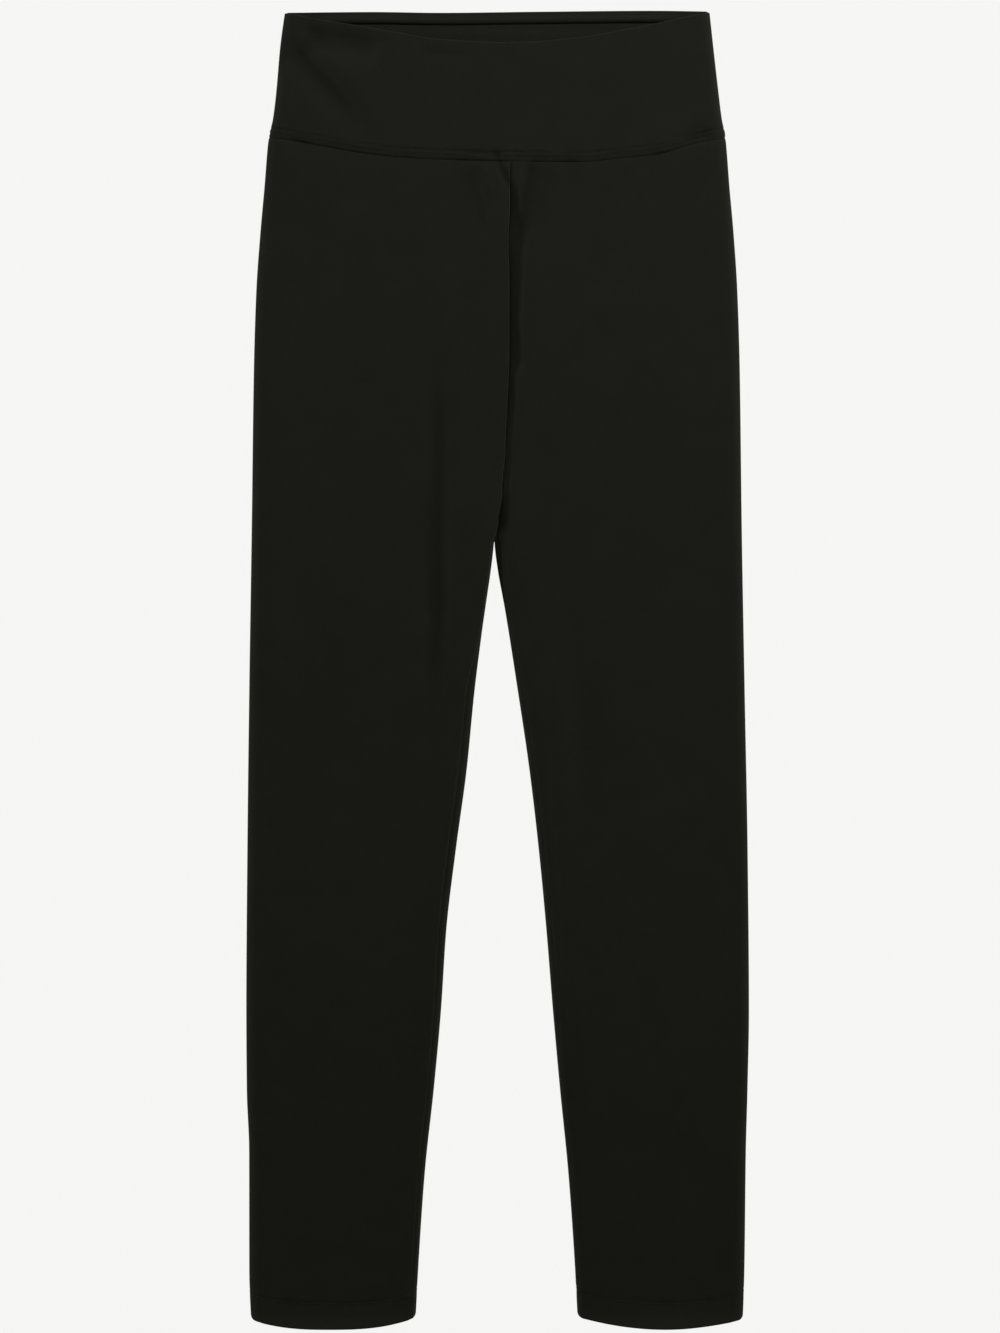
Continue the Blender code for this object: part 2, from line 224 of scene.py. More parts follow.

# ------------------------------------------------------------------------- folds, laid in one by one

# Across each fold the height falls off as a bell with its own half width on the -X and on the +X
# side. Along it the height fades in and out over the last two lengths. Negative is a trough.
FRONT_FOLDS = (
    # name, start (x, drop), end (x, drop), half widths, height, fades at start and end
    ("lip over the front seam", (17.5, 150), (9.0, 350), (5.0, 22.0), 0.5, (30, 60)),
    ("crest beside the lower seam", (7.4, 296), (3.8, 352), (14.0, 3.0), 0.2, (26, 10)),
    ("crest beside the crotch", (4.0, 344), (-1.4, 400), (14.0, 3.0), 0.35, (12, 10)),
    ("swell over the crotch", (1.0, 330), (1.0, 448), (26.0, 26.0), 1.6, (50, 52)),
    ("first valley, into the seam", (-1.5, 103), (10.4, 133), (4.6, 1.9), -1.1, (6, 8)),
    ("second valley, beside it", (25.5, 104), (12.0, 186), (7.5, 11.0), -1.8, (16, 32)),
    ("wrinkle from the seam", (-20.0, 112), (-4.5, 176), (9.0, 4.4), -0.95, (16, 28)),
    ("rise beside that wrinkle", (-9.0, 112), (-6.0, 142), (4.0, 4.0), 0.6, (8, 12)),
    ("trough down the right thigh", (-43.0, 225), (-44.0, 520), (12.0, 8.5), -1.7, (90, 90)),
    ("its wide bed", (-46.0, 300), (-47.0, 600), (18.0, 11.0), -0.4, (90, 90)),
    ("end of that trough", (-44.0, 400), (-55.0, 660), (13.0, 13.0), -0.9, (90, 110)),
    ("fall of the left thigh", (58.0, 400), (72.0, 640), (14.0, 17.0), -0.9, (80, 100)),
    ("puff inside the right thigh", (-12.5, 310), (-14.0, 470), (12.0, 7.0), 0.6, (60, 60)),
    ("puff inside the left thigh", (14.0, 325), (18.0, 470), (9.0, 16.0), 0.5, (40, 60)),
    ("edge of the left knee", (38.0, 450), (60.0, 800), (7.0, 10.0), 0.8, (60, 90)),
    ("edge of the left calf", (58.0, 700), (76.0, 960), (7.0, 9.0), 0.6, (60, 60)),
    ("swell of the right hip", (-136.0, 170), (-134.0, 560), (30.0, 40.0), 1.9, (120, 120)),
    ("swell over the middle of the seam", (-60.0, 108), (90.0, 108), (28.0, 28.0), 0.9, (50, 60)),
    ("wrinkle across the band", (-157.0, 20), (-98.0, 85), (14.0, 7.5), -2.8, (18, 40)),
    ("its faint end", (-124.0, 56), (-86.0, 100), (12.0, 7.0), -0.9, (24, 26)),
    ("dent under the band's edge", (-150.0, 15), (-80.0, 27), (13.0, 7.0), -2.6, (18, 18)),
    ("dent further in", (-60.0, 31), (-14.0, 35), (4.0, 4.0), -0.6, (15, 15)),
    ("pinch at the right end of the seam", (-158.0, 93), (-112.0, 103), (4.0, 4.5), -0.6, (8, 20)),
    ("pinch at the left end of the seam", (126.0, 99), (160.0, 89), (4.5, 4.5), -1.1, (14, 8)),
    ("swell of the right calf", (-124.0, 640), (-104.0, 900), (24.0, 20.0), 0.4, (80, 80)),
    ("swell of the left calf", (112.0, 620), (132.0, 880), (24.0, 24.0), 0.4, (80, 80)),
    ("slack across the right knee", (-176.0, 556), (-96.0, 604), (9.0, 9.0), -0.3, (30, 30)),
    ("slack across the left knee", (88.0, 590), (172.0, 556), (9.0, 9.0), -0.3, (30, 30)),
    ("slack above the right hem", (-128.0, 905), (-82.0, 938), (7.0, 7.0), -0.5, (16, 16)),
    ("slack above the left hem", (148.0, 876), (168.0, 946), (10.0, 8.0), -0.35, (24, 24)),
    ("rise to the right hem", (-187.0, 975), (-54.0, 975), (10.0, 10.0), 2.3, (6, 6)),
    ("rise to the left hem", (53.0, 975), (187.0, 975), (10.0, 10.0), 2.3, (6, 6)),
    ("dent over the middle of the seam", (-27.0, 104.6), (7.0, 105.6), (1.8, 1.8), -0.6, (10, 5)),
)
BACK_FOLDS = (
    ("crease under the right seat", (-150.0, 236), (-40.0, 262), (7.0, 7.0), 0.45, (30, 30)),
    ("crease under the left seat", (34.0, 268), (146.0, 240), (7.0, 7.0), 0.4, (30, 30)),
    ("short crease at the crotch, right", (-46.0, 352), (-10.0, 376), (4.0, 4.0), 0.5, (12, 10)),
    ("short crease at the crotch, left", (12.0, 372), (52.0, 344), (4.0, 4.0), 0.5, (10, 14)),
    ("slack behind the right knee", (-170.0, 596), (-62.0, 616), (8.0, 8.0), 0.4, (30, 30)),
    ("second slack behind it", (-150.0, 628), (-84.0, 640), (6.0, 6.0), 0.3, (20, 20)),
    ("slack behind the left knee", (58.0, 618), (168.0, 592), (8.0, 8.0), 0.4, (30, 30)),
    ("second slack behind that", (84.0, 646), (150.0, 630), (6.0, 6.0), 0.3, (20, 20)),
    ("fall of the right thigh", (-96.0, 300), (-104.0, 560), (12.0, 12.0), 0.35, (70, 70)),
    ("fall of the left thigh", (98.0, 310), (104.0, 540), (12.0, 12.0), 0.35, (70, 70)),
)

# The tuck along the front seam: the left leg's cloth starts this deep under the right leg's edge
# and comes up over this reach, straight at first and rounding off between two shares of it. The
# right leg's own edge dives down to it over a very short length.
TUCK = table(
    "drop depth reach",
    [
        (112, 0.0, 5.0),
        (124, 0.3, 5.0),
        (136, 1.8, 5.6),
        (146, 2.4, 6.6),
        (160, 2.8, 11.0),
        (172, 3.0, 14.0),
        (198, 2.9, 13.5),
        (213, 2.7, 12.0),
        (228, 2.5, 11.0),
        (242, 2.6, 12.5),
        (257, 2.6, 12.5),
        (272, 1.7, 6.5),
        (286, 1.9, 9.0),
        (301, 1.7, 8.0),
        (316, 1.0, 7.0),
        (331, 0.9, 6.4),
        (345, 1.1, 6.4),
        (360, 0.8, 6.4),
        (390, 0.4, 6.4),
        (420, 0.0, 6.4),
    ],
)
TUCK_ROUNDS_FROM, TUCK_ROUNDS_TO = 0.8, 1.2
DIVE_LENGTH = 0.05

# The pocket at the crotch, where the left leg's cloth falls steeply to the joined seams.
POCKET_DEPTH = 5.0
POCKET_REACH = 3.0
POCKET_FROM, POCKET_DEEPEST, POCKET_TO = 350.0, 382.0, 442.0

# ------------------------------------------------------------------------- what is uneven by nature

UNEVEN = {
    # strength, size of its waves, seed
    "wide slack": (0.22, 61.0, 3),
    "middling slack": (0.10, 23.0, 5),
    "fine slack": (0.028, 7.0, 7),
    "lift of the back": (1.0, 37.0, 11),
    "puckers below the waist seam": (0.18, 6.0, 21),
    "puckers at the hem": (0.16, 5.0, 23),
    "inseam groove": (0.4, 9.0, 25),
    "hem groove": (1.0, 19.0, 27),
    "puckers above the waist seam": (0.22, 4.3, 31),
    "puckers at the waistband's top": (0.06, 9.0, 33),
    "waist seam": (0.6, 13.0, 35),
    "lower waist stitches": (1.1, 11.0, 37),
    "upper waist stitches": (1.1, 11.0, 38),
    "facing": (1.0, 31.0, 41),
}
# Waves lean by a share of the drop, or are longer down the cloth where the drop is read at a share
# under 1, and shorter over 1.
SLACK_LEAN = 0.3
LEG_PUCKER_RUN, BAND_PUCKER_RUN = 0.35, 0.6
FACING_RUN = 2.2

# ------------------------------------------------------------------------------ rows and columns

LEG_ROWS = (
    # from drop, to drop, rows
    (110, 113, 6),
    (113, 118, 6),
    (118, 230, 44),
    (230, 370, 44),
    (370, 382, 6),
    (382, 402, 16),
    (402, 560, 48),
    (560, 930, 92),
    (930, 948, 8),
    (948, 961, 14),
    (961, 972, 8),
)
SEAM_BEND_FADES = 0.3

# Columns of a leg: the front's inner end, which wraps round the inner fold below the crotch; the
# front, in four runs to the end of a band along that edge, to the crease band, across it and out to
# the fold; the outer fold; the back; and the strip, which turns up to the inseam.
WRAP_STEPS = 8
WRAP_LENGTH = 5.0
WRAP_CROWDING = 5
FRONT_STEPS = (20, 8, 11, 34)
EDGE_BAND, EDGE_BAND_PARTED = 15.0, 7.0
CREASE_BAND = 18.0
FOLD_STEPS = 14
BACK_STEPS = 32
STRIP_LENGTH = 6.0

WRAPS = slice(0, 1 + WRAP_STEPS)
FLATS = slice(WRAPS.stop, WRAPS.stop + sum(FRONT_STEPS))
OUTERS = slice(FLATS.stop, FLATS.stop + FOLD_STEPS)
BACKS = slice(OUTERS.stop, OUTERS.stop + BACK_STEPS)
STRIPS = slice(BACKS.stop, BACKS.stop + FOLD_STEPS)
COLUMNS = STRIPS.stop

# How far the edge of a piece's grid stays from the middle of its seam: the rim adds half a wall.
EDGE_HALF = (JERSEY + SEAM_GAP) / 2

BAND_FRONT_COLUMNS = 230
BAND_BACK_COLUMNS = 120
BAND_SEAM_ZONE, BAND_SEAM_ROWS = 9.0, 14
BAND_MIDDLE_ROWS = 26
BAND_TOP_ZONE, BAND_TOP_ROWS = 9.0, 24
FACING_X_STEPS = 150
FACING_ROWS, FACING_CROWDING = 36, 1.6
RIM_STEPS = 6
RIM_SQUARENESS = 0.6

# A column's end and its place depend on each other a little, so they are worked out in rounds that
# start from about where the seam and the top are.
LEG_ROUNDS, BAND_ROUNDS = 6, 4
FRONT_SEAM_LEVEL, BACK_SEAM_LEVEL, TOP_LEVEL = 100.0, 95.0, 5.0

# ------------------------------------------------------------------------------ seams and stitches

# The turned strip with the elastic in it, along the top of the waistband.
TURNED_STRIP = 7.6
TURNED_WALL, TURNED_WALL_STEP = 2.2, (0.55, 0.1)
STRIP_DOME, DOME_INSIDE_BACK = 0.12, 0.7
DOME_FADES_FROM, DOME_FADES_TO = 120.0, 140.0
DOME_LEAN = 1.8
TOP_PUCKER_LENGTH = 10.0

# The waist seam. Its turnings lift the band, both sides roll down into it and are pinched flatter.
ALLOWANCE, ALLOWANCE_STEP = 8.0, (1.0, 1.5)
ALLOWANCE_LIFT = 0.15
WAIST_SEAM_DEPTH, BAND_ROLL = 0.6, 0.8
LEG_TOP_DEPTH, LEG_TOP_ROLL = 0.25, 0.9
BAND_PINCH, BAND_PINCH_LENGTH = 0.15, 4.8
LEG_PINCH, LEG_PINCH_LENGTH = 0.14, 24.0
BAND_PUCKER_LENGTH, LEG_PUCKER_LENGTH = 9.0, 8.0
PUCKER_START = 0.8
SEAM_PUFF, SEAM_PUFF_X, SEAM_PUFF_HALF = 0.75, 19.0, 11.0

# The centre seams and the inseam, which the cloth rolls into.
SEAM_SHOULDER, SEAM_ROLL = 0.4, 1.2
DEEPEST_RELIEF = 0.55

WAIST_STITCHES = {"lower waist stitches": 3.2, "upper waist stitches": 6.9}
STITCH_PITCH, STITCH_LENGTH, STITCH_RADIUS = 3.1, 2.4, 0.17
STITCH_GROOVE, STITCH_GROOVE_HALVES = 0.34, (0.6, 1.7)
HEM_ENDS = (1.0, 1.0)
# A stitch's middle stands this proud, its ends dive by this much, and its thread tapers to caps.
STITCH_PROUD, STITCH_DIVE, STITCH_TAPER = 0.10, 0.26, 0.75
CAP_LENGTH, CAP_DIVE = 0.08, 0.34
STITCH_STEPS, STITCH_SIDES = 7, 6

# The facing lies on the inside of the back: its edges, height and one soft crease across it.
FACING_TOP = TURNED_STRIP + 2.3
FACING_OVER_SEAM = 1.5
FACING_Z, FACING_LIFT = 1.05, 0.10
FACING_CREASE, FACING_CREASE_DROP, FACING_CREASE_HALF = 0.22, 17.0, 2.6
FACING_CREASE_SLANT = 0.012
FACING_TUCK, FACING_TUCK_LENGTH = 0.12, 1.0


# ------------------------------------------------------------------------------------- arithmetic


def along(columns, key, name, at):
    """The named column read at any place: a cubic through its rows that never overshoots them."""
    stations, values = columns[key], columns[name]
    secants = np.diff(values) / np.diff(stations)
    before, after = secants[:-1], secants[1:]
    same_way = before * after > 0
    inner = np.where(same_way, 2 * before * after / np.where(same_way, before + after, 1.0), 0.0)
    slopes = np.concatenate([secants[:1], inner, secants[-1:]])
    at = np.clip(at, stations[0], stations[-1])
    i = np.clip(np.searchsorted(stations, at, side="right") - 1, 0, len(stations) - 2)
    span = stations[i + 1] - stations[i]
    f = (at - stations[i]) / span
    start = values[i] * (1 + 2 * f) * (1 - f) ** 2 + slopes[i] * span * f * (1 - f) ** 2
    end = values[i + 1] * (3 - 2 * f) * f**2 - slopes[i + 1] * span * f**2 * (1 - f)
    return start + end


def ease(f):
    """0 below 0, 1 above 1 and a smooth rise between."""
    f = np.clip(f, 0.0, 1.0)
    return f * f * (3 - 2 * f)


def mix(a, b, f):
    return a * (1 - f) + b * f


def ramp(at, first, last):
    return ease((at - first) / (last - first))


def step_at(at, middle, around):
    """A ramp that starts and ends these lengths before and after a place."""
    return ramp(at, middle - around[0], middle + around[1])


def unit(vectors):
    return vectors / np.maximum(np.linalg.norm(vectors, axis=-1, keepdims=True), 1e-9)


def lengths_along(points):
    """How far along its row each point of a grid is."""
    steps = np.linalg.norm(np.diff(points, axis=-2), axis=-1)
    return np.concatenate([np.zeros(steps.shape[:-1] + (1,)), np.cumsum(steps, axis=-1)], axis=-1)


def uneven(name, x, y):
    """Smooth random heights, up to a strength: random values on a square lattice, blended by ease.
    """
    strength, size, seed = UNEVEN[name]
    cells = 97
    lattice = np.random.default_rng(seed).uniform(-1, 1, (cells, cells))
    x, y = np.broadcast_arrays(x / size, y / size)
    i, j = np.floor(x).astype(int), np.floor(y).astype(int)
    across, down = ease(x - i), ease(y - j)
    i, j, i1, j1 = i % cells, j % cells, (i + 1) % cells, (j + 1) % cells
    upper = mix(lattice[i, j], lattice[i1, j], across)
    lower = mix(lattice[i, j1], lattice[i1, j1], across)
    return strength * mix(upper, lower, down)


def bell(at, half):
    """1 at 0, falling off to both sides as a bell."""
    return np.exp(-((at / half) ** 2))


# ------------------------------------------------------------------------- the form of the garment


def fold_radius(drop):
    return mix(BAND_FOLD_RADIUS, LEG_FOLD_RADIUS, ramp(drop, FOLD_EASES_FROM, FOLD_EASES_TO))


def outer_edge(side, drop):
    return along(SIDES, "drop", side + "_out", drop)


def half_width(x, drop):
    """How far out the outline is on the side that x is on."""
    return np.where(x < 0, outer_edge("right", drop), outer_edge("left", drop))


def inner_edge(side, layer, drop):
    """How far out a leg's inner edge is: at a centre seam above the crotch, at its fold below."""
    seam = SIGN[side] * along(CENTRE_SEAMS[layer], "drop", "x", drop) + SEAM_GAP / 2
    return np.where(drop < CROTCH_DROP, seam, along(INNER_EDGES, "drop", side + "_out", drop))


def fold_heights(folds, x, drop):
    """The sum of the folds at each place."""
    total = np.zeros(np.broadcast(x, drop).shape)
    for _, start, end, half_widths, height, fades in folds:
        run = np.subtract(end, start)
        length = math.hypot(*run)
        ahead = ((x - start[0]) * run[0] + (drop - start[1]) * run[1]) / length
        aside = ((x - start[0]) * run[1] - (drop - start[1]) * run[0]) / length
        fade = ease(ahead / fades[0]) * ease((length - ahead) / fades[1])
        half = np.where(aside * run[1] < 0, half_widths[0], half_widths[1])
        total += height * fade * bell(aside, half)
    return total


def slackness(x, drop):
    """The faint unevenness of cloth that was smoothed down by hand."""
    wide = uneven("wide slack", x, drop)
    middling = uneven("middling slack", x + SLACK_LEAN * drop, drop)
    return wide + middling + uneven("fine slack", x, drop)


def pocket(from_seam, drop):
    """Depth of the crotch's pocket: it falls off from the seam as an exponential."""
    down = ramp(drop, POCKET_FROM, POCKET_DEEPEST) * (1 - ramp(drop, POCKET_DEEPEST, POCKET_TO))
    return POCKET_DEPTH * down * np.exp(-np.maximum(from_seam, 0.0) / POCKET_REACH)


def tuck(from_seam, drop):
    """Depth of the tuck: a straight slope up from the seam that a parabola rounds off."""
    part = np.clip(from_seam / along(TUCK, "drop", "reach", drop), 0, TUCK_ROUNDS_TO)
    rounded = (TUCK_ROUNDS_TO - part) ** 2 / (TUCK_ROUNDS_TO - TUCK_ROUNDS_FROM) / 2
    return along(TUCK, "drop", "depth", drop) * np.where(part < TUCK_ROUNDS_FROM, 1 - part, rounded)


def dive(from_edge, drop):
    """How far the right leg's front edge bends down to meet the tuck and the pocket."""
    return (tuck(0.0, drop) + pocket(0.0, drop)) * bell(from_edge, DIVE_LENGTH)


def front_height(x, drop):
    """Z of the front's outer face where it isn't folded round: twice the fold's radius, plus a
    crown that eases in from the sides, plus the folds."""
    from_side = half_width(x, drop) - np.abs(x)
    right = -inner_edge("right", "front", drop)
    left = inner_edge("left", "front", drop)
    on_left = x > (right + left) / 2
    from_inner = np.where(on_left, x - left, right - x)
    parted = ramp(drop, CROTCH_SINKS_FROM, CROTCH_DROP)

    crown = mix(BAND_CROWN, LEG_CROWN, ramp(drop, CROWN_EASES_FROM, CROWN_EASES_TO))
    crown *= mix(CROWN_AT_FOLD, 1.0, ease((from_side - FOLD_REACH) / CROWN_REACH))
    crown *= mix(1.0, mix(CROWN_AT_INNER, 1.0, ease(from_inner / INNER_CROWN_REACH)), parted)

    folds = fold_heights(FRONT_FOLDS, x, drop) + slackness(x, drop)
    folds *= ease(from_side / FOLDS_FADE_AT_SIDE)
    folds -= np.where(on_left, pocket(from_inner, drop) + tuck(from_inner, drop), 0.0)

    return np.maximum(2 * fold_radius(drop) + crown + folds, LEAST_HEIGHT)


def back_height(x, drop):
    """How far the back's outer face is off the floor: creases and a faint unevenness."""
    inside = ease((half_width(x, drop) - np.abs(x) - 2 * fold_radius(drop)) / CROWN_REACH)
    lift = fold_heights(BACK_FOLDS, x, drop)
    lift = lift + BACK_LIFT * (1 + uneven("lift of the back", x, drop))
    return FLOOR_CLEARANCE + inside * np.minimum(lift, MOST_BACK_LIFT)


def fold_path(turn, reach, radius, top):
    """A folded side in section, from the floor at turn 0 out round the outline to the top at turn
    pi: a quarter circle, then a quarter ellipse. Gives how far in from the outline, and how high.
    """
    upper = turn > math.pi / 2
    inward = np.where(upper, reach, radius) * (1 - np.sin(turn))
    height = radius - np.where(upper, top - radius, radius) * np.cos(turn)
    return inward, np.maximum(height, FLOOR_CLEARANCE)


def hem_drop(side, out):
    """Drop of the hem: a bow that rises to both sides as a power of the distance from its middle,
    and a quarter circle at each corner."""
    inner = along(INNER_EDGES, "drop", side + "_out", LENGTH)
    outer = outer_edge(side, LENGTH)
    inner_rise, outer_rise, power = HEM_RISES[side]
    middle = mix(inner, outer, HEM_MIDDLE)
    rise = np.where(out < middle, inner_rise, outer_rise)
    aside = (out - middle) / np.where(out < middle, inner - middle, outer - middle)
    into_corner = np.clip(1 - np.minimum(out - inner, outer - out) / HEM_CORNER, 0, 1)
    corner = HEM_CORNER * (1 - np.sqrt(1 - into_corner**2))
    return LENGTH - HEM_RIM - rise * np.clip(aside, 0, 1) ** power - corner


# ------------------------------------------------------------------------------------------- legs


def leg_rows():
    """How far down the leg each row is, from 0 at the waist seam to 1 at the hem."""
    drops = [LEG_ROWS[0][0]]
    for first, last, count in LEG_ROWS:
        drops.extend(np.linspace(first, last, count + 1)[1:])
    drops = np.array(drops)
    return (drops - drops[0]) / (drops[-1] - drops[0])


def seam_turn(side, drop):
    """Where the inseam lies on its fold, as a turn, and the turn that half a wall takes there."""
    turn = math.pi * along(INSEAM, "drop", side + "_turn", drop)
    reach = along(INSEAM, "drop", side + "_reach", drop)
    across = np.where(turn > math.pi / 2, reach, LEG_FOLD_RADIUS) * np.cos(turn)
    return turn, EDGE_HALF / np.hypot(across, LEG_FOLD_RADIUS * np.sin(turn))


def leg_section(side, drop):
    """Section of a leg at the drop of each column: how far out and how high each point is.

    Columns run from the front seam over the front, round the outer fold and in over the floor to
    the back seam. Above the crotch both inner ends lie flat. Below it the front's end wraps down
    over the inner fold and the back's end, the strip, turns up round it, until they meet at the
    inseam. Between the two states each point moves in a straight line.
    """
    sign = SIGN[side]
    radius = fold_radius(drop)
    reach = along(INSEAM, "drop", side + "_reach", drop)
    parted = ramp(drop, PARTS_FROM, PARTS_TO)
    turn, clear = seam_turn(side, drop)
    out = np.zeros_like(drop)
    z = np.zeros_like(drop)

    # the front's inner end
    c = WRAPS
    inner = inner_edge(side, "front", drop[..., c])
    part = np.arange(WRAP_STEPS + 1) / WRAP_STEPS
    spread = WRAP_LENGTH * part**WRAP_CROWDING
    start = inner + mix(EDGE_HALF + WRAP_LENGTH, reach[..., c], parted[..., c])
    top = front_height(sign * start, drop[..., c])
    wrapped = mix(turn[..., c] + clear[..., c], math.pi, part)
    inward, height = fold_path(wrapped, reach[..., c], LEG_FOLD_RADIUS, top)
    out[..., c] = inner + mix(EDGE_HALF + spread, inward, parted[..., c])
    flat = front_height(sign * out[..., c], drop[..., c])
    if side == "right":
        flat = np.maximum(flat - dive(spread, drop[..., c]), LEAST_HEIGHT)
    z[..., c] = mix(flat, height, parted[..., c])

    # the front
    c = FLATS
    start = inner_edge(side, "front", drop[..., c])
    start += mix(EDGE_HALF + WRAP_LENGTH, reach[..., c], parted[..., c])
    band_end = start + mix(EDGE_BAND, EDGE_BAND_PARTED, parted[..., c])
    crease = along(CREASE_LINE, "drop", "out", drop[..., c])
    outline = outer_edge(side, drop[..., c])
    half = CREASE_BAND / 2
    stops = (start, band_end, crease - half, crease + half, outline - FOLD_REACH)
    part = np.concatenate([np.arange(1, steps + 1) / steps for steps in FRONT_STEPS])
    stage = np.repeat(np.arange(len(FRONT_STEPS)), FRONT_STEPS)
    out[..., c] = mix(np.choose(stage, stops[:-1]), np.choose(stage, stops[1:]), part)
    z[..., c] = front_height(sign * out[..., c], drop[..., c])

    # the outer fold
    c = OUTERS
    folded = math.pi * (1 - np.arange(1, FOLD_STEPS + 1) / FOLD_STEPS)
    outline = outer_edge(side, drop[..., c])
    top = front_height(sign * (outline - FOLD_REACH), drop[..., c])
    inward, z[..., c] = fold_path(folded, FOLD_REACH, radius[..., c], top)
    out[..., c] = outline - inward

    # the strip, and the back as far as its start
    c = STRIPS
    part = np.arange(FOLD_STEPS) / (FOLD_STEPS - 1)
    inner = inner_edge(side, "back", drop[..., c])
    top = front_height(sign * (inner + reach[..., c]), drop[..., c])
    turned = (turn[..., c] - clear[..., c]) * part
    inward, height = fold_path(turned, reach[..., c], LEG_FOLD_RADIUS, top)
    inward = mix(EDGE_HALF + STRIP_LENGTH * (1 - part), inward, parted[..., c])
    inward = inward - inward.min(axis=-1, keepdims=True) + EDGE_HALF * (1 - parted[..., c]) ** 2
    out[..., c] = inner + inward
    z[..., c] = mix(FLOOR_CLEARANCE, height, parted[..., c])

    c = BACKS
    part = np.arange(1, BACK_STEPS + 1) / (BACK_STEPS + 1)
    first = outer_edge(side, drop[..., c]) - radius[..., c]
    last = out[..., STRIPS.start : STRIPS.start + 1]
    out[..., c] = mix(first, last, part)
    z[..., c] = back_height(sign * out[..., c], drop[..., c])
    return out, z


def leg_top(side):
    """Drop of each column's top end."""
    drop = np.full(COLUMNS, FRONT_SEAM_LEVEL)
    drop[BACKS.start :] = BACK_SEAM_LEVEL
    to_back = np.arange(1, FOLD_STEPS + 1) / FOLD_STEPS
    for _ in range(LEG_ROUNDS):
        x = SIGN[side] * leg_section(side, drop)[0]
        on_front = along(FRONT_EDGES, "x", "seam_drop", x)
        on_back = along(BACK_EDGES, "x", "seam_drop", x)
        drop[: FLATS.stop] = on_front[: FLATS.stop]
        drop[OUTERS] = mix(on_front[OUTERS], on_back[OUTERS], to_back)
        drop[BACKS.start :] = on_back[BACKS.start :]
    return drop + EDGE_HALF


def leg_points(side):
    """Outer face of a leg before its relief, with the drop of each point and of the hem below it.
    Rows run from the waist seam to the hem, and the seam's bend fades out down the leg."""
    hem = hem_drop(side, leg_section(side, np.full(COLUMNS, LENGTH))[0])
    seam_level = LEG_ROWS[0][0]
    down = leg_rows()[:, None]
    bend = (leg_top(side) - seam_level) * (1 - ease(down / SEAM_BEND_FADES))
    drop = mix(seam_level, hem, down) + bend
    out, z = leg_section(side, drop)
    x = SIGN[side] * out
    z = z * (1 - LEG_PINCH * uneven_seam(x) * np.exp(-(drop - drop[0]) / LEG_PINCH_LENGTH))
    return np.stack([x, LENGTH / 2 - drop, z], axis=-1), drop, hem


def leg_relief(side, points, drop, hem):
    """What seams do to a leg's face: it rolls down into each seam, puckers below the waist seam,
    and stands up where the hem is double, with a groove along the hem's stitching."""
    x = points[..., 0]
    from_top = drop - drop[0]
    from_hem = hem - drop
    from_front_edge = lengths_along(points)
    from_inseam = from_front_edge[:, -1:] - from_front_edge

    parted = ramp(drop, PARTS_FROM, PARTS_TO)
    groove = along(INSEAM, "drop", side + "_groove", drop) * (1 + uneven("inseam groove", x, drop))
    front_shoulder = 0.0 if side == "right" else SEAM_SHOULDER
    between = 4 * parted * (1 - parted)
    back_shoulder = mix(SEAM_SHOULDER, groove, parted) * (1 - between)
    relief = -mix(front_shoulder, groove, parted) * np.exp(-from_front_edge / SEAM_ROLL)
    relief -= back_shoulder * np.exp(-from_inseam / SEAM_ROLL)
    relief -= LEG_TOP_DEPTH * np.exp(-from_top / LEG_TOP_ROLL)
    puckers = uneven("puckers below the waist seam", x, LEG_PUCKER_RUN * drop)
    puckers = puckers * np.exp(-from_top / LEG_PUCKER_LENGTH)
    relief += puckers * (1 - np.exp(-from_top / PUCKER_START))

    above_stitches = from_hem - HEM_DEPTH
    depth = HEM_GROOVE * (1 + uneven("hem groove", x, drop))
    relief -= groove_across(above_stitches, depth, HEM_GROOVE_HALVES)
    relief += HEM_LIFT * (1 - step_at(from_hem, HEM_DEPTH, HEM_LIFT_STEP))
    relief += uneven("puckers at the hem", x, drop) * bell(above_stitches, HEM_PUCKER_HALF)
    return np.maximum(relief, -DEEPEST_RELIEF)


def leg_wall(drop, hem):
    """One layer of jersey, and two where the hem is turned in, less where it is folded round."""
    double = 1 - step_at(hem - drop, HEM_DEPTH, HEM_WALL_STEP)
    at_folds = np.ones(COLUMNS, bool)
    at_folds[FLATS] = False
    at_folds[BACKS] = False
    return mix(JERSEY, np.where(at_folds, HEM_FOLD_WALL, HEM_WALL), double)


# -------------------------------------------------------------------------------------- waistband


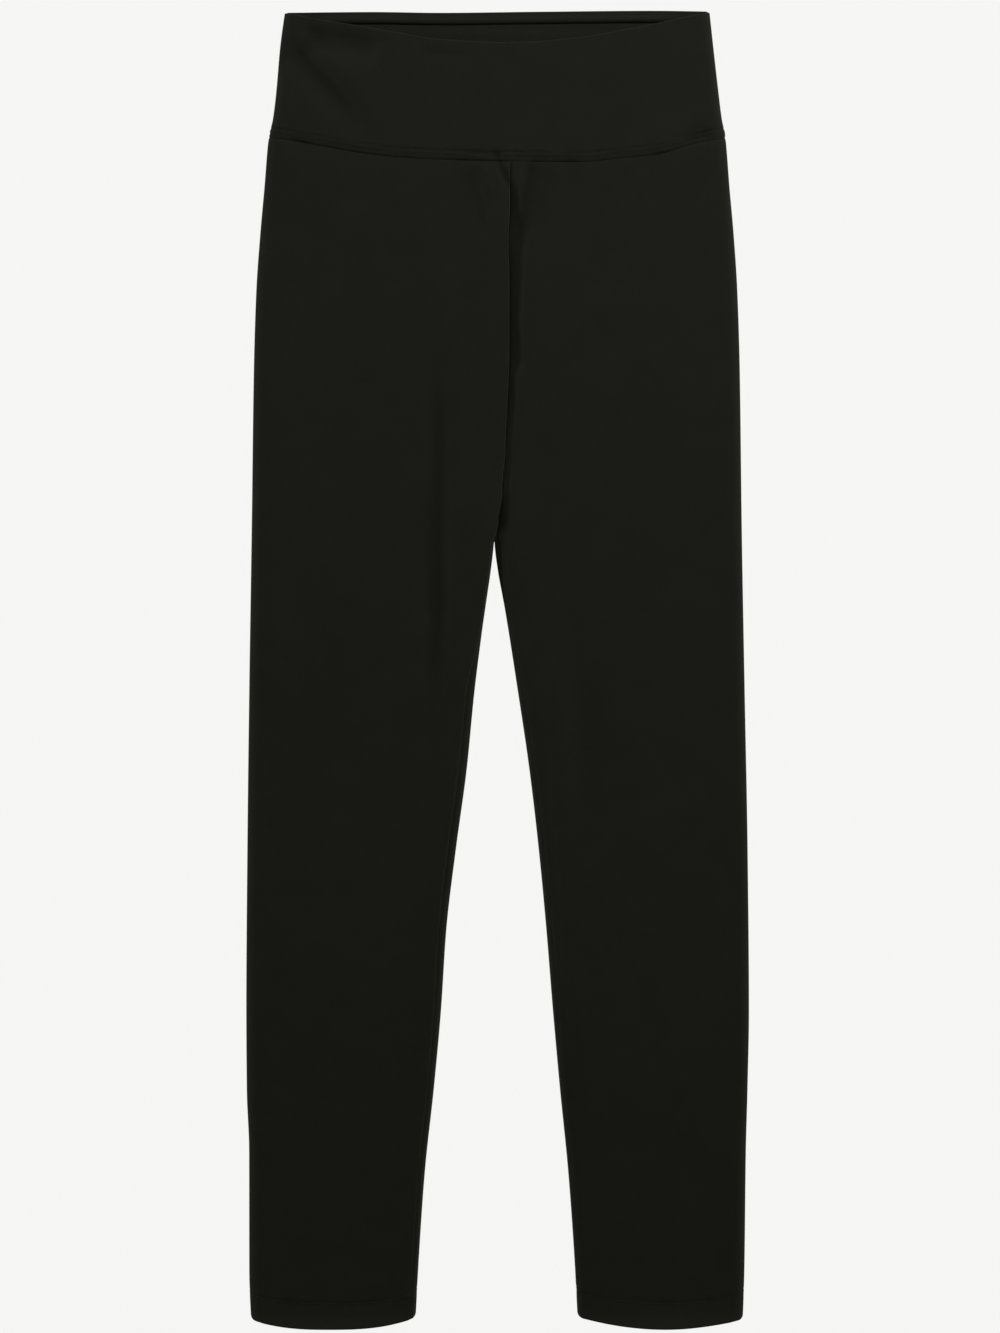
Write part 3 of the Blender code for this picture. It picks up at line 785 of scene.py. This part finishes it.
def band_points():
    """Outer face of the waistband: columns run once round it, from the right side over the front,
    and rows from its seam to its top. Also how far each point is above the seam and below the
    top."""
    front = np.linspace(-1, 1, BAND_FRONT_COLUMNS + 1)
    back = np.linspace(1, -1, BAND_BACK_COLUMNS + 1)
    part = np.arange(1, FOLD_STEPS) / FOLD_STEPS
    share = np.concatenate([front, 1 + 0 * part, back, -1 + 0 * part])
    turn = math.pi * np.concatenate([1 + 0 * front, 1 - part, 0 * back, part])
    backness = 1 - turn / math.pi

    def section(drop):
        outline = half_width(share, drop)
        side = np.where(share < 0, -1.0, 1.0)
        top = front_height(side * (outline - FOLD_REACH), drop)
        inward, z = fold_path(turn, FOLD_REACH, fold_radius(drop), top)
        x = share * (outline - inward)
        return x, np.where(turn == math.pi, front_height(x, drop), z)

    def level(name, drop):
        drop = drop + 0 * share
        for _ in range(BAND_ROUNDS):
            x = section(drop)[0]
            edges = [along(edge, "x", name, x) for edge in (FRONT_EDGES, BACK_EDGES)]
            drop = mix(*edges, backness)
        return drop

    seam = level("seam_drop", FRONT_SEAM_LEVEL) - EDGE_HALF
    top = level("top_drop", TOP_LEVEL) + TURNED_WALL / 2
    height = (seam - top)[None, :]
    near_seam = np.linspace(0, BAND_SEAM_ZONE, BAND_SEAM_ROWS + 1)[:, None] + 0 * height
    near_top = np.linspace(BAND_TOP_ZONE, 0, BAND_TOP_ROWS + 1)[:, None] + 0 * height
    part = (np.arange(1, BAND_MIDDLE_ROWS) / BAND_MIDDLE_ROWS)[:, None]
    middle = mix(BAND_SEAM_ZONE, height - BAND_TOP_ZONE, part)
    above_seam = np.concatenate([near_seam, middle, height - near_top])
    drop = seam - above_seam
    x, z = section(drop)
    z = z * (1 - BAND_PINCH * uneven_seam(x) * np.exp(-above_seam / BAND_PINCH_LENGTH))
    return np.stack([x, LENGTH / 2 - drop, z], axis=-1), above_seam, height - above_seam


def puffed(x):
    """How much the waist seam is puffed out, so that its groove fades: 0 away from one place."""
    return SEAM_PUFF * bell(x - SEAM_PUFF_X, SEAM_PUFF_HALF)


def uneven_seam(x):
    """Strength of the waist seam's groove along it: uneven, and less where it is puffed."""
    return (1 + uneven("waist seam", x, 0 * x)) * (1 - puffed(x))


def groove_across(beyond, depth, halves):
    """A groove along stitches, steep on the side beyond them and gentle on the other."""
    return depth * bell(beyond, np.where(beyond > 0, halves[0], halves[1]))


def band_relief(points, above_seam, below_top):
    """What sewing does to the band's face: it stands up over the seam's turnings, with a groove
    along each row of stitches, puckers near both edges and rolls down into the seam."""
    x = points[..., 0]
    relief = ALLOWANCE_LIFT * (1 - step_at(above_seam, ALLOWANCE, ALLOWANCE_STEP))
    seam_depth = ALLOWANCE_LIFT + WAIST_SEAM_DEPTH * uneven_seam(x)
    relief -= seam_depth * np.exp(-above_seam / BAND_ROLL)
    for name, height in WAIST_STITCHES.items():
        depth = STITCH_GROOVE * (1 + uneven(name, x, above_seam))
        relief -= groove_across(above_seam - height, depth, STITCH_GROOVE_HALVES)
    near_seam = bell(above_seam, BAND_PUCKER_LENGTH) * (1 - np.exp(-above_seam / PUCKER_START))
    relief += uneven("puckers above the waist seam", x, BAND_PUCKER_RUN * above_seam) * near_seam
    near_top = bell(below_top, TOP_PUCKER_LENGTH)
    relief += uneven("puckers at the waistband's top", x, below_top) * near_top
    return np.maximum(relief, -DEEPEST_RELIEF)


def band_wall(x, below_top):
    """One layer of jersey, and at the top the thickness of the turned strip with its elastic,
    which domes as a half sine that leans down, most where it shows inside the back."""
    first = BAND_FRONT_COLUMNS + FOLD_STEPS
    back = slice(first, first + BAND_BACK_COLUMNS + 1)
    to_side = ramp(np.abs(x[:, back]), DOME_FADES_FROM, DOME_FADES_TO)
    dome = np.full(x.shape, STRIP_DOME)
    dome[:, back] = mix(DOME_INSIDE_BACK, STRIP_DOME, to_side)
    dome = dome * np.sin(math.pi * np.clip(below_top / TURNED_STRIP, 0, 1) ** DOME_LEAN)
    turned = 1 - step_at(below_top, TURNED_STRIP, TURNED_WALL_STEP)
    return mix(JERSEY, TURNED_WALL + dome, turned)


def facing_points():
    """Upper face of the facing inside the back: rows run from its seam to the turned strip, where
    it tucks down under the strip."""
    share = np.linspace(-1, 1, FACING_X_STEPS + 1)
    x = share * (half_width(share, TOP_LEVEL) - 2 * BAND_FOLD_RADIUS - JERSEY / 2)
    seam = along(BACK_EDGES, "x", "seam_drop", x) - FACING_OVER_SEAM
    top = along(BACK_EDGES, "x", "top_drop", x) + FACING_TOP
    up = 1 - (1 - np.arange(FACING_ROWS + 1) / FACING_ROWS) ** FACING_CROWDING
    drop = mix(seam, top, up[:, None])
    x = x + 0 * drop
    from_crease = drop - FACING_CREASE_DROP - FACING_CREASE_SLANT * x
    z = FACING_Z + JERSEY + FACING_LIFT * (1 + uneven("facing", x, FACING_RUN * drop))
    z = z + FACING_CREASE * bell(from_crease, FACING_CREASE_HALF)
    z = z - FACING_TUCK * np.exp(-(drop - top) / FACING_TUCK_LENGTH)
    return np.stack([x, LENGTH / 2 - drop, z], axis=-1)


# ----------------------------------------------------------------------------------- cloth to mesh


def normals_of(points, looped, mirrored):
    """Outward directions on a grid: the cross product of its two directions, turned round where
    the piece is mirrored."""
    across = np.gradient(points, axis=1)
    if looped:
        across = (np.roll(points, -1, axis=1) - np.roll(points, 1, axis=1)) / 2
    along_rows = np.gradient(points, axis=0)
    normals = unit(np.cross(across, along_rows))
    return -normals if mirrored else normals


def rim_loops(rows, columns, looped):
    """The edge of a grid as closed loops of (row, column), in order."""
    if looped:
        around = np.arange(columns)
        return [(0 * around, around), (0 * around + rows - 1, around)]
    right, left = np.arange(1, rows), np.arange(rows - 2, 0, -1)
    across, back = np.arange(columns), np.arange(columns - 2, -1, -1)
    row = np.concatenate([0 * across, right, 0 * back + rows - 1, left])
    column = np.concatenate([across, 0 * right + columns - 1, back, 0 * left])
    return [(row, column)]


def square(value):
    """A cosine or sine whose circle is drawn out towards a square."""
    return math.copysign(abs(value) ** RIM_SQUARENESS, value)


def outwards(at, count):
    """-1 at the first of a count, 1 at the last and 0 between, as a column."""
    return ((at == count - 1) * 1.0 - (at == 0))[:, None]


def quads_of(grid):
    """The quads of a grid of point numbers."""
    quads = np.stack([grid[:-1, :-1], grid[:-1, 1:], grid[1:, 1:], grid[1:, :-1]], axis=-1)
    return quads.reshape(-1, 4)


def wall_mesh(outer, inner, wall, looped, mirrored):
    """Points and faces of a closed wall: both grids, and along their edges a rim, a squarish half
    circle from one to the other that bulges straight out of the edge by half the wall. Also the
    place in the grid of each point."""
    rows, columns = outer.shape[:2]
    middle = (outer + inner) / 2
    across = unit(np.gradient(middle, axis=1))
    up_rows = unit(np.gradient(middle, axis=0))
    index = np.arange(rows * columns).reshape(rows, columns)
    points = [outer.reshape(-1, 3), inner.reshape(-1, 3)]
    uv_index = [index.ravel(), index.ravel()]

    quads = quads_of(np.hstack([index, index[:, :1]]) if looped else index)
    faces = [quads, quads[:, ::-1] + rows * columns]

    start = 2 * rows * columns
    for number, (row, column) in enumerate(rim_loops(rows, columns, looped)):
        outward = outwards(row, rows) * up_rows[row, column]
        if not looped:
            outward += outwards(column, columns) * across[row, column]
        half = (outer - inner)[row, column] / 2
        outward -= (outward * unit(half)).sum(-1, keepdims=True) * unit(half)
        outward = unit(outward) * wall[row, column, None] / 2
        angles = np.arange(1, RIM_STEPS) / RIM_STEPS * math.pi
        rings = [
            middle[row, column] + half * square(math.cos(a)) + outward * square(math.sin(a))
            for a in angles
        ]
        count = len(row)
        points.extend(rings)
        uv_index.extend([index[row, column]] * len(rings))
        ids = [index[row, column]]
        ids += [start + k * count + np.arange(count) for k in range(len(rings))]
        ids += [index[row, column] + rows * columns]
        start += len(rings) * count
        loop = np.array(ids)
        rim = quads_of(np.hstack([loop, loop[:, :1]]))
        faces.append(rim if number == 1 else rim[:, ::-1])
    faces = np.concatenate(faces)
    if mirrored:
        faces = faces[:, ::-1]
    return np.concatenate(points), faces, np.concatenate(uv_index)


def mesh_object(name, points, faces, material, uv=None):
    """A smooth mesh object from points in millimetres; uv has one pair for each face corner."""
    mesh = bpy.data.meshes.new(name)
    mesh.vertices.add(len(points))
    mesh.vertices.foreach_set("co", np.ascontiguousarray(points * MM, np.float32).ravel())
    mesh.loops.add(faces.size)
    mesh.loops.foreach_set("vertex_index", np.ascontiguousarray(faces, np.int32).ravel())
    mesh.polygons.add(len(faces))
    starts = np.arange(0, faces.size, faces.shape[1], dtype=np.int32)
    mesh.polygons.foreach_set("loop_start", starts)
    mesh.update(calc_edges=True)
    mesh.validate()
    mesh.shade_smooth()
    if uv is not None:
        layer = mesh.uv_layers.new(name="cloth")
        layer.uv.foreach_set("vector", np.ascontiguousarray(uv * MM, np.float32).ravel())
    mesh.materials.append(material)
    piece = bpy.data.objects.new(name, mesh)
    bpy.context.scene.collection.objects.link(piece)
    return piece


def cloth(name, points, relief, wall, material, looped=False, mirrored=False, straight=0):
    """A piece of cloth: its relief moves its points out, but not below the floor, and its wall sets
    the inner face. Its UV map is the flat cloth in metres: the way round the piece from its
    straight column, and down it."""
    normals = normals_of(points, looped, mirrored)
    outer = points + normals * relief[..., None]
    outer[..., 2] = np.maximum(outer[..., 2], FLOOR_CLEARANCE)
    inner = points - normals * wall[..., None]
    mesh_points, faces, uv_index = wall_mesh(outer, inner, wall, looped, mirrored)

    round_it = lengths_along(np.hstack([points, points[:, :1]]) if looped else points)
    u = round_it[:, : points.shape[1]]
    u = u - u[:, straight : straight + 1]
    flat = np.stack([u, -points[..., 1]], axis=-1).reshape(-1, 2)
    uv = flat[uv_index][faces]
    if looped:
        lengths = np.broadcast_to(round_it[:, -1:], u.shape).reshape(-1)[uv_index][faces]
        spread = uv[..., 0].max(axis=1) - uv[..., 0].min(axis=1)
        wraps = (spread > lengths[:, 0] / 2)[:, None] & (uv[..., 0] < lengths / 2)
        uv[..., 0] += np.where(wraps, lengths, 0.0)
    piece = mesh_object(name, mesh_points, faces, material, uv)
    return piece, outer, normals


def row_of_stitches(face, normals, row, looped, ends=(0.0, 0.0)):
    """Where the stitches of one row lie: places a pitch apart along the grid's row, which may be
    between two rows, with the directions along the row and out of the cloth. The ends are left
    free of stitches."""
    below, part = int(row), row - int(row)
    line = mix(face[below], face[below + 1], part)
    out = unit(mix(normals[below], normals[below + 1], part))
    if looped:
        line, out = np.vstack([line, line[:1]]), np.vstack([out, out[:1]])
    run = lengths_along(line)
    at = np.arange(ends[0] + STITCH_PITCH / 2, run[-1] - ends[1], STITCH_PITCH)

    def read(values, places):
        return np.stack([np.interp(places, run, values[:, i]) for i in range(3)], axis=-1)

    ahead = read(line, at + STITCH_LENGTH / 2) - read(line, at - STITCH_LENGTH / 2)
    return read(line, at), unit(ahead), unit(read(out, at))


def stitching(name, rows, material):
    """All the stitches of the rows as one mesh. Each is a short round thread along its row, whose
    middle stands proud and whose ends taper, dive into the cloth as a fourth power and close in
    one point each. The floor presses those under it flat."""
    places = [np.concatenate(parts) for parts in zip(*rows)]
    centre, ahead, out = (values[:, None, None, :] for values in places)
    s = np.linspace(-1, 1, STITCH_STEPS)[None, :, None, None]
    angle = (np.arange(STITCH_SIDES) * 2 * math.pi / STITCH_SIDES)[None, None, :, None]
    aside = np.cross(ahead, out)
    radius = STITCH_RADIUS * np.sqrt(1 - STITCH_TAPER * s**4)
    points = centre + ahead * s * STITCH_LENGTH / 2 + out * (STITCH_PROUD - STITCH_DIVE * s**4)
    points = points + radius * (aside * np.cos(angle) + out * np.sin(angle))
    to_cap = np.array([[-1], [1]]) * (STITCH_LENGTH / 2 + CAP_LENGTH)
    caps = centre[:, :, 0] + ahead[:, :, 0] * to_cap + out[:, :, 0] * (STITCH_PROUD - CAP_DIVE)

    count = len(centre)
    tube = np.arange(count * STITCH_STEPS * STITCH_SIDES).reshape(count, STITCH_STEPS, STITCH_SIDES)
    ring = np.concatenate([tube, tube[:, :, :1]], axis=2)
    near, far = ring[..., :-1], ring[..., 1:]
    quads = np.stack([near[:, :-1], far[:, :-1], far[:, 1:], near[:, 1:]], axis=-1).reshape(-1, 4)
    first_cap = tube.size + 2 * np.arange(count)[:, None] + 0 * near[:, 0]
    start = np.stack([far[:, 0], near[:, 0], first_cap], axis=-1)
    end = np.stack([near[:, -1], far[:, -1], first_cap + 1], axis=-1)
    triangles = [quads[:, [0, 1, 2]], quads[:, [0, 2, 3]], start.reshape(-1, 3), end.reshape(-1, 3)]
    triangles = np.concatenate(triangles)
    all_points = np.concatenate([points.reshape(-1, 3), caps.reshape(-1, 3)])
    all_points[:, 2] = np.maximum(all_points[:, 2], 0.0)
    return mesh_object(name, all_points, triangles, material)


# -------------------------------------------------------------------------------------- materials

BLACK = (0.0092, 0.0099, 0.0069)
INSIDE_BLACK = (0.0098, 0.0104, 0.0077)
THREAD_BLACK = (0.0100, 0.0104, 0.0080)
LINT = (0.09, 0.09, 0.085, 1.0)
FLOOR_WHITE = (0.93, 0.93, 0.915, 1.0)

# The sizes of the knit and of every relief are in metres, and the lint's cells, the bars across the
# knit and the twists of the thread are counted to a metre.
WALE, COURSE, VEE_SHARE = 0.00075, 0.00052, 0.35
KNIT_RELIEF, KNIT_STRENGTH, KNIT_SHARE, FUZZ_SHARE = 0.00012, 0.35, 0.5, 1.4
LINT_CELLS, LINT_SIZE, LINT_CHANCE = 34.0, 0.016, 0.22
BARS = (6.0, 420.0, 1.0)
ROUGHNESS, ROUGHNESS_SPREAD = 0.86, 0.12
TWISTS, TWIST_TURN, TWIST_RELIEF, TWIST_STRENGTH = 900.0, 0.9, 0.00005, 0.3

NOISES = {
    # scale, detail, roughness, and its share in how light the colour is
    "mottle": (46.0, 4.0, 0.6, 0.22),
    "grain": (700.0, 2.0, 0.6, 0.30),
    "bars": (1.0, 2.0, 0.6, 0.10),
    "fuzz": (1500.0, 3.0, 0.7, 0.0),
    "thread": (240.0, 3.0, 0.55, 0.6),
}
LEAST_CLOTH_TONE, LEAST_THREAD_TONE = 0.69, 0.7

MATT = {
    "Metallic": 0.0,
    "IOR": 1.45,
    "Specular IOR Level": 0.05,
    "Sheen Weight": 0.05,
    "Sheen Roughness": 0.45,
    "Sheen Tint": (0.5, 0.52, 0.46, 1.0),
}
SATIN = {"Roughness": 0.7, "Specular IOR Level": 0.1}


def node(tree, kind, settings=None, **links):
    """A shader node with its settings, its named inputs joined to sockets or set to values."""
    made = tree.nodes.new("ShaderNode" + kind)
    for key, value in (settings or {}).items():
        setattr(made, key, value)
    for key, value in links.items():
        numbered = key[0] == "i" and key[1:].isdigit()
        socket = made.inputs[int(key[1:]) if numbered else key]
        if isinstance(value, bpy.types.NodeSocket):
            tree.links.new(value, socket)
        else:
            socket.default_value = value
    return made


def maths(tree, operation, first, second=0.0):
    return node(tree, "Math", {"operation": operation}, i0=first, i1=second).outputs[0]


def times(tree, first, second):
    return maths(tree, "MULTIPLY", first, second)


def plus(tree, first, second):
    return maths(tree, "ADD", first, second)


def noise(tree, name, vector):
    scale, detail, roughness, _ = NOISES[name]
    inputs = {"Vector": vector, "Scale": scale, "Detail": detail, "Roughness": roughness}
    return node(tree, "TexNoise", None, **inputs).outputs["Fac"]


def shaded(tree, colour, tone):
    """The colour, lighter or darker by a tone."""
    return node(tree, "VectorMath", {"operation": "SCALE"}, i0=colour, Scale=tone).outputs[0]


def finish(name, settings):
    """A new material, its node tree, and its shader with the named inputs set."""
    material = bpy.data.materials.new(name)
    material.use_nodes = True
    shader = material.node_tree.nodes["Principled BSDF"]
    for key, value in settings.items():
        shader.inputs[key].default_value = value
    return material, material.node_tree, shader


def knit_height(tree, u, v):
    """Height of jersey's face: columns of wales, each a stack of Vs, one to a course."""
    across = maths(tree, "FRACT", times(tree, u, 1 / WALE))
    from_middle = maths(tree, "ABSOLUTE", maths(tree, "SUBTRACT", across, 0.5))
    course = plus(tree, times(tree, v, 1 / COURSE), from_middle)
    vees = maths(tree, "SINE", times(tree, course, 2 * math.pi))
    ridge = maths(tree, "COSINE", times(tree, from_middle, 2 * math.pi))
    return plus(tree, ridge, times(tree, vees, VEE_SHARE))


def jersey(name, colour):
    """Matt black jersey: knit, fibre fuzz, faint bars across the knit, and a few specks of lint."""
    material, tree, shader = finish(name, MATT)
    place = node(tree, "TexCoord").outputs["Object"]
    flat = node(tree, "UVMap", {"uv_map": "cloth"}).outputs["UV"]
    split = node(tree, "SeparateXYZ", None, Vector=flat)
    knit = knit_height(tree, split.outputs["X"], split.outputs["Y"])

    stretched = node(tree, "Mapping", None, Vector=flat, Scale=BARS).outputs["Vector"]
    places = {"mottle": place, "grain": place, "bars": stretched}
    noises = {part: noise(tree, part, vector) for part, vector in places.items()}
    tone = LEAST_CLOTH_TONE
    for part, value in noises.items():
        tone = plus(tree, times(tree, value, NOISES[part][-1]), tone)
    cloth_colour = shaded(tree, colour, tone)

    cells = node(tree, "TexVoronoi", None, Vector=place, Scale=LINT_CELLS)
    speck = maths(tree, "LESS_THAN", cells.outputs["Distance"], LINT_SIZE)
    chosen = node(tree, "SeparateColor", None, Color=cells.outputs["Color"]).outputs["Red"]
    lint = times(tree, speck, maths(tree, "LESS_THAN", chosen, LINT_CHANCE))
    coloured = node(tree, "Mix", {"data_type": "RGBA"}, Factor=lint, i6=cloth_colour, i7=LINT)
    tree.links.new(coloured.outputs[2], shader.inputs["Base Color"])
    roughness = plus(tree, times(tree, noises["grain"], ROUGHNESS_SPREAD), ROUGHNESS)
    tree.links.new(roughness, shader.inputs["Roughness"])

    fuzz = times(tree, noise(tree, "fuzz", place), FUZZ_SHARE)
    height = plus(tree, times(tree, knit, KNIT_SHARE), fuzz)
    bump = node(tree, "Bump", None, Strength=KNIT_STRENGTH, Distance=KNIT_RELIEF, Height=height)
    tree.links.new(bump.outputs["Normal"], shader.inputs["Normal"])
    return material


def thread(name):
    """Black polyester sewing thread, a little glossier than the cloth, with its twist."""
    material, tree, shader = finish(name, SATIN)
    place = node(tree, "TexCoord").outputs["Object"]
    uneven_tone = times(tree, noise(tree, "thread", place), NOISES["thread"][-1])
    tone = plus(tree, uneven_tone, LEAST_THREAD_TONE)
    tree.links.new(shaded(tree, THREAD_BLACK, tone), shader.inputs["Base Color"])
    turned = node(tree, "Mapping", None, Vector=place, Rotation=(0.0, 0.0, TWIST_TURN))
    twist = node(tree, "TexWave", None, Vector=turned.outputs["Vector"], Scale=TWISTS)
    twist = twist.outputs["Fac"]
    bump = node(tree, "Bump", None, Strength=TWIST_STRENGTH, Distance=TWIST_RELIEF, Height=twist)
    tree.links.new(bump.outputs["Normal"], shader.inputs["Normal"])
    return material


# --------------------------------------------------------------------------- the pieces themselves

leg_cloth = jersey("black jersey", BLACK)
band_cloth = jersey("waistband jersey", BLACK)
facing_cloth = jersey("facing jersey", INSIDE_BLACK)
black_thread = thread("black thread")

for side in ("right", "left"):
    points, drop, hem = leg_points(side)
    leg, face, normals = cloth(
        f"leg_{side}_cloth",
        points,
        leg_relief(side, points, drop, hem),
        leg_wall(drop, hem),
        leg_cloth,
        mirrored=side == "left",
        straight=OUTERS.start + FOLD_STEPS // 2,
    )
    row_drops = mix(LEG_ROWS[0][0], LENGTH, leg_rows())
    stitch_row = np.interp(LENGTH - HEM_DEPTH, row_drops, np.arange(len(face)))
    rows = [row_of_stitches(face, normals, stitch_row, False, ends=HEM_ENDS)]
    hem_stitches = stitching(f"hem_stitching_{side}", rows, black_thread)
    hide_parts(f"leg_{side}")
    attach(leg, "root")
    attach(hem_stitches, "root")

points, above_seam, below_top = band_points()
band, face, normals = cloth(
    "waistband_cloth",
    points,
    band_relief(points, above_seam, below_top),
    band_wall(points[..., 0], below_top),
    band_cloth,
    looped=True,
    straight=BAND_FRONT_COLUMNS // 2,
)
rows = [
    row_of_stitches(face, normals, height / BAND_SEAM_ZONE * BAND_SEAM_ROWS, True)
    for height in WAIST_STITCHES.values()
]
waist_stitches = stitching("waist_topstitching", rows, black_thread)
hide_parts("waistband")
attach(band, "root")
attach(waist_stitches, "root")

points = facing_points()
relief = np.zeros(points.shape[:2])
wall = np.full(points.shape[:2], JERSEY)
facing, _, _ = cloth("waistband_facing_cloth", points, relief, wall, facing_cloth)
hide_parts("waistband_facing")
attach(facing, "root")

# ------------------------------------------------------------------------- floor, light and camera

FLOOR_HALF = 12000.0
FLOOR_GLOW, ROOM_GLOW = 0.981, 0.02
LAMP_WHITE = (1.0, 1.0, 0.985)

LIGHTS = (
    # name, place, aim, size (across, down) in metres, watts
    ("key", (1.75, 1.95, 1.05), (0.0, 0.1, 0.0), (0.8, 0.8), 57.0),
    ("fill", (0.2, 1.3, 1.8), (0.0, 0.1, 0.0), (1.2, 1.2), 25.0),
    ("right edge light", (2.4, 0.0, 0.15), (0.0, 0.0, 0.0), (2.0, 0.2), 62.0),
    ("left edge light", (-2.4, 0.0, 0.15), (0.0, 0.0, 0.0), (2.0, 0.2), 86.0),
    ("waist edge light", (0.0, 2.8, 0.28), (0.0, 0.0, 0.0), (2.0, 0.3), 30.0),
    ("hem edge light", (0.0, -2.8, 0.28), (0.0, 0.0, 0.0), (2.0, 0.3), 8.0),
)

LENS, SENSOR = 85.0, 36.0
VIEW_HEIGHT = 982.4
VIEW_CENTRE = (1.84, 3.04)
OUTLINE_Z = 2.0


def pale_floor():
    """A plain pale sheet that glows a little, as a lit table does."""
    glow = {
        "Base Color": (0.01, 0.01, 0.01, 1.0),
        "Roughness": 1.0,
        "Specular IOR Level": 0.0,
        "Emission Color": FLOOR_WHITE,
        "Emission Strength": FLOOR_GLOW,
    }
    corners = FLOOR_HALF * np.array([(-1, -1, 0), (1, -1, 0), (1, 1, 0), (-1, 1, 0)], float)
    floor = mesh_object("floor", corners, np.array([[0, 1, 2, 3]]), finish("pale floor", glow)[0])


def area_light(name, place, aim, size, power):
    """A soft panel light at a place, facing another. No view shows it."""
    lamp = bpy.data.lights.new(name, "AREA")
    lamp.shape = "RECTANGLE"
    lamp.size, lamp.size_y = size
    lamp.energy = power
    lamp.color = LAMP_WHITE
    holder = bpy.data.objects.new(name, lamp)
    bpy.context.scene.collection.objects.link(holder)
    holder.location = place
    x, y, z = np.subtract(aim, place)
    tilt = math.acos(-z / math.hypot(x, y, z))
    holder.rotation_euler = (tilt, 0.0, math.atan2(x, -y) + math.pi)
    holder.visible_camera = False


pale_floor()
for light in LIGHTS:
    area_light(*light)

world = bpy.data.worlds.new("soft room")
bpy.context.scene.world = world
world.use_nodes = True
room = world.node_tree.nodes["Background"]
room.inputs["Color"].default_value = FLOOR_WHITE
room.inputs["Strength"].default_value = ROOM_GLOW

# Straight above, so far off that the garment's outline, a little over the floor, fills the view.
camera_data = bpy.data.cameras.new("camera")
camera_data.lens = LENS
camera_data.sensor_width = SENSOR
camera = bpy.data.objects.new("camera", camera_data)
bpy.context.scene.collection.objects.link(camera)
distance = VIEW_HEIGHT * LENS / SENSOR + OUTLINE_Z
camera.location = (VIEW_CENTRE[0] * MM, VIEW_CENTRE[1] * MM, distance * MM)
bpy.context.scene.camera = camera
bpy.context.scene.view_settings.view_transform = "Standard"
